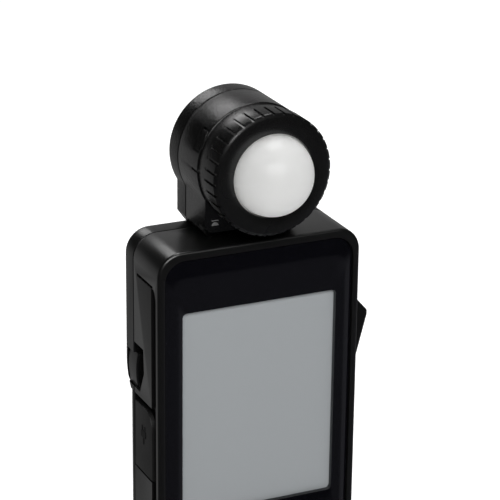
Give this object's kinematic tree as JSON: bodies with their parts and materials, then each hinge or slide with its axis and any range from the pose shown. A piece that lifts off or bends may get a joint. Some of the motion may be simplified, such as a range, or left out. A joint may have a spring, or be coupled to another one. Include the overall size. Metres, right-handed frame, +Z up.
{
  "type": "handheld light meter",
  "caption": "Handheld exposure meter: slim black body with touch display, side measuring button and a round head whose knurled ring draws in a white dome.",
  "frame": {"origin": "mouth of the tripod socket in the bottom face", "axes": "+Z up along the body, -Y out of the front panel, +X to the right seen from the front"},
  "size_m": [0.0626, 0.0394, 0.14],
  "materials": {
    "case_plastic": "semi-gloss black moulded plastic",
    "head_plastic": "fine-grained matte black moulded plastic",
    "ring_plastic": "matte black moulded plastic",
    "panel_gloss": "polished black",
    "button_plastic": "satin black",
    "display": "grey display, switched off",
    "backlight_white": "white light guide",
    "board_green": "green printed board",
    "rubber_black": "soft matte rubber",
    "steel": "plated steel",
    "brass": "turned brass",
    "tray_plastic": "black moulded plastic",
    "cell_jacket": "printed cell jacket, plain",
    "tape_black": "black foam tape",
    "switch_black": "black component body",
    "dome_white": "white translucent, satin",
    "filter_glass": "blue-green filter glass",
    "flex_film": "amber polyimide ribbon"
  },
  "bodies": {
    "meter_body": {"front_case": "case_plastic", "rear_cover": "case_plastic", "front_panel": "panel_gloss", "panel_tape": "tape_black", "touch_film": "display", "lcd_module": "display", "display_backlight": "backlight_white", "main_board": "board_green", "board_screws": "steel", "button_mat": "rubber_black", "measuring_switch": "switch_black", "usb_socket": "steel", "sync_terminal": "steel", "strap_bar": "case_plastic", "case_screws": "steel", "tripod_insert": "brass", "battery_tray": "tray_plastic", "battery_cells": "cell_jacket", "battery_springs": "steel", "battery_plates": "steel", "head_housing": "head_plastic", "accessory_insert": "head_plastic", "head_rear_cap": "head_plastic", "head_screws": "steel", "head_collar": "head_plastic", "detent_ball": "steel", "detent_spring": "steel", "sensor_barrel": "head_plastic", "ir_filter": "filter_glass", "sensor_board": "board_green", "photodiode": "switch_black", "sensor_flex": "flex_film"},
    "ring": {"retraction_ring": "ring_plastic", "cam_tube": "ring_plastic", "ring_clip": "steel"},
    "dome_unit": {"dome": "dome_white", "dome_carrier": "head_plastic", "cam_pins": "steel"},
    "measuring_button": {"measuring_button": "case_plastic"},
    "menu_button": {"menu_button": "button_plastic"},
    "power_button": {"power_button": "button_plastic"},
    "memory_button": {"memory_button": "button_plastic"},
    "battery_cover": {"battery_cover": "case_plastic"},
    "usb_cover": {"usb_cover": "rubber_black"}
  },
  "joints": [
    {"name": "ring_turn", "type": "hinge", "parent": "meter_body", "child": "ring", "pos_m": [0, -0.012, 0.1239], "axis": [0, 1, 0], "range_deg": [0, 60]},
    {"name": "dome_slide", "type": "slide", "parent": "meter_body", "child": "dome_unit", "axis": [0, 1, 0], "range_m": [0, 0.0096]},
    {"name": "measuring_press", "type": "slide", "parent": "meter_body", "child": "measuring_button", "axis": [-1, 0, 0], "range_m": [0, 0.001], "stiffness_N_per_m": 800, "springref_m": -0.0005},
    {"name": "menu_press", "type": "slide", "parent": "meter_body", "child": "menu_button", "axis": [0, 1, 0], "range_m": [0, 0.0006], "stiffness_N_per_m": 800, "springref_m": -0.0005},
    {"name": "power_press", "type": "slide", "parent": "meter_body", "child": "power_button", "axis": [0, 1, 0], "range_m": [0, 0.0006], "stiffness_N_per_m": 800, "springref_m": -0.0005},
    {"name": "memory_press", "type": "slide", "parent": "meter_body", "child": "memory_button", "axis": [0, 1, 0], "range_m": [0, 0.0006], "stiffness_N_per_m": 800, "springref_m": -0.0005},
    {"name": "battery_cover_slide", "type": "slide", "parent": "meter_body", "child": "battery_cover", "axis": [0, 0, -1], "range_m": [0, 0.014]},
    {"name": "usb_cover_bend", "type": "hinge", "parent": "meter_body", "child": "usb_cover", "pos_m": [-0.02785, 0.0013, 0.04015], "axis": [0, -1, 0], "range_deg": [0, 95]}
  ],
  "couplings": [
    {"joint": "dome_slide", "follows": "ring_turn", "m_per_rad": 0.009072}
  ]
}
